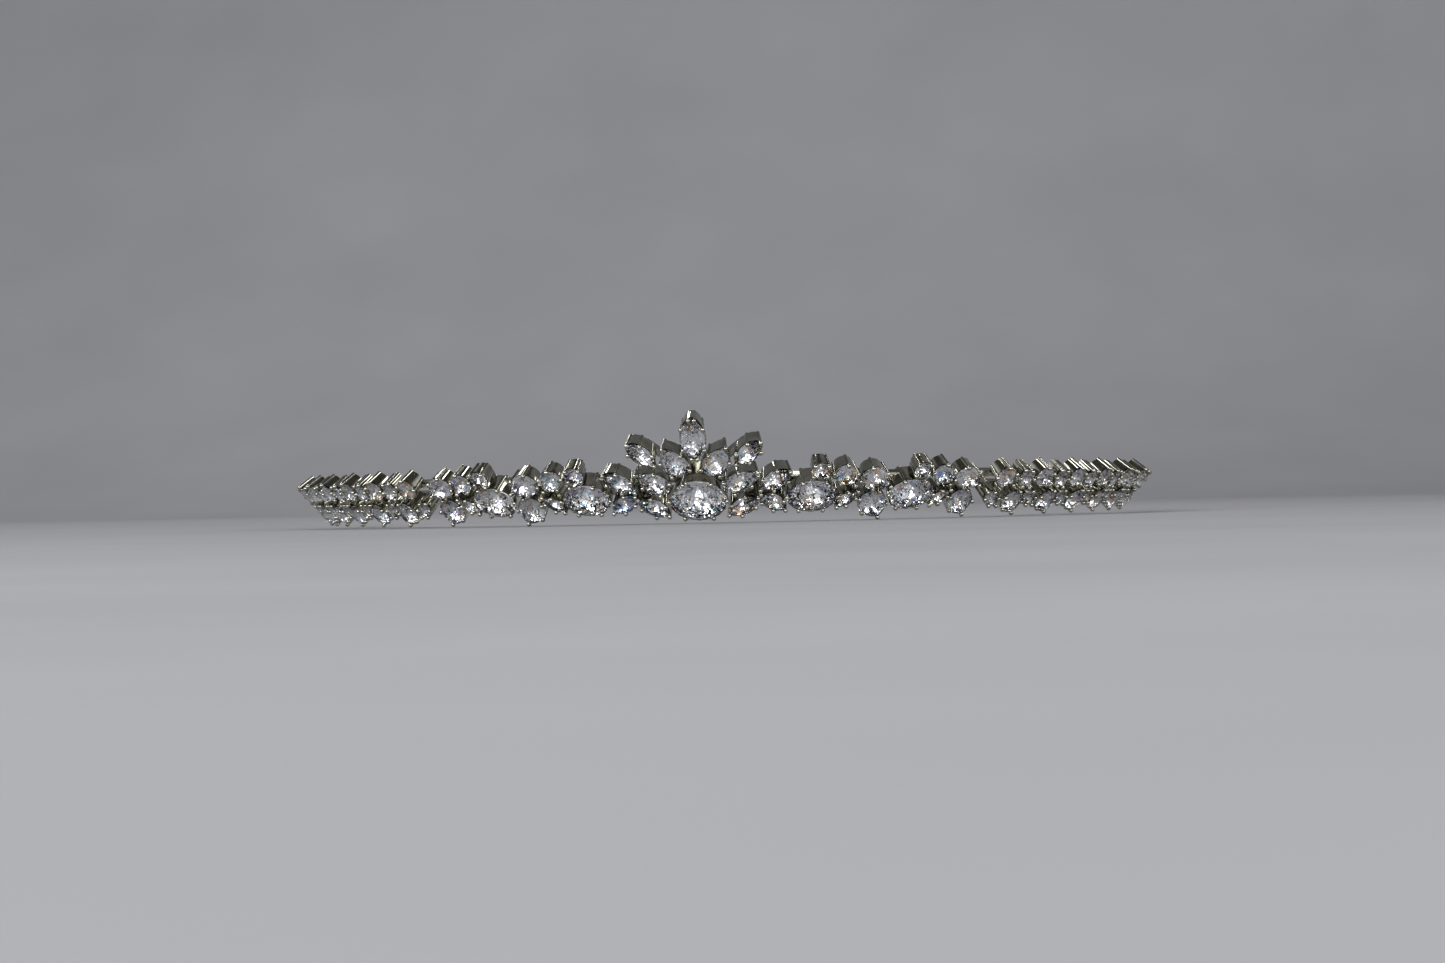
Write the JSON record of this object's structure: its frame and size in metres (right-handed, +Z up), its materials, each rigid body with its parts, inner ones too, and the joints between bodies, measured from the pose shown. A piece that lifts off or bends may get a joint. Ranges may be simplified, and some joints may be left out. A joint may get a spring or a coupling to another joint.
{
  "type": "bridal tiara",
  "caption": "Flared arc tiara of oval, pear and marquise stones in pronged cups on a two-rail frame, with a fan crest and an end loop each side.",
  "frame": {"origin": "middle of the box's underside: under the arc, halfway across and halfway from front to back, on the plane that the lowest prongs touch", "axes": "+Z up along the arc's axis, +X to the right seen from the front, and the front with its crest faces -Y"},
  "size_m": [0.1464, 0.1098, 0.0175],
  "materials": {
    "rhodium_plate": "polished plating, bright on the prong tips, a little dull in the corners",
    "cubic_zirconia": "clear, facet cut and polished"
  },
  "bodies": {
    "root": {"backing_frame": "rhodium_plate", "centre_oval_setting": "rhodium_plate", "centre_oval_stone": "cubic_zirconia", "crest_frame": "rhodium_plate", "left_end_loop": "rhodium_plate", "left_inner_petal_setting": "rhodium_plate", "left_inner_petal_stone": "cubic_zirconia", "left_leaf_cluster_1_settings": "rhodium_plate", "left_leaf_cluster_1_stones": "cubic_zirconia", "left_leaf_cluster_2_settings": "rhodium_plate", "left_leaf_cluster_2_stones": "cubic_zirconia", "left_leaf_cluster_3_settings": "rhodium_plate", "left_leaf_cluster_3_stones": "cubic_zirconia", "left_lower_leaf_setting": "rhodium_plate", "left_lower_leaf_stone": "cubic_zirconia", "left_lower_sprig_setting": "rhodium_plate", "left_lower_sprig_stone": "cubic_zirconia", "left_outer_petal_setting": "rhodium_plate", "left_outer_petal_stone": "cubic_zirconia", "left_spray_1_settings": "rhodium_plate", "left_spray_1_stones": "cubic_zirconia", "left_spray_2_settings": "rhodium_plate", "left_spray_2_stones": "cubic_zirconia", "left_upper_sprig_setting": "rhodium_plate", "left_upper_sprig_stone": "cubic_zirconia", "left_wing_petal_setting": "rhodium_plate", "left_wing_petal_stone": "cubic_zirconia", "right_end_loop": "rhodium_plate", "right_inner_petal_setting": "rhodium_plate", "right_inner_petal_stone": "cubic_zirconia", "right_leaf_cluster_1_settings": "rhodium_plate", "right_leaf_cluster_1_stones": "cubic_zirconia", "right_leaf_cluster_2_settings": "rhodium_plate", "right_leaf_cluster_2_stones": "cubic_zirconia", "right_leaf_cluster_3_settings": "rhodium_plate", "right_leaf_cluster_3_stones": "cubic_zirconia", "right_lower_leaf_setting": "rhodium_plate", "right_lower_leaf_stone": "cubic_zirconia", "right_lower_sprig_setting": "rhodium_plate", "right_lower_sprig_stone": "cubic_zirconia", "right_outer_petal_setting": "rhodium_plate", "right_outer_petal_stone": "cubic_zirconia", "right_spray_1_settings": "rhodium_plate", "right_spray_1_stones": "cubic_zirconia", "right_spray_2_settings": "rhodium_plate", "right_spray_2_stones": "cubic_zirconia", "right_upper_sprig_setting": "rhodium_plate", "right_upper_sprig_stone": "cubic_zirconia", "right_wing_petal_setting": "rhodium_plate", "right_wing_petal_stone": "cubic_zirconia", "top_petal_setting": "rhodium_plate", "top_petal_stone": "cubic_zirconia"}
  },
  "joints": []
}
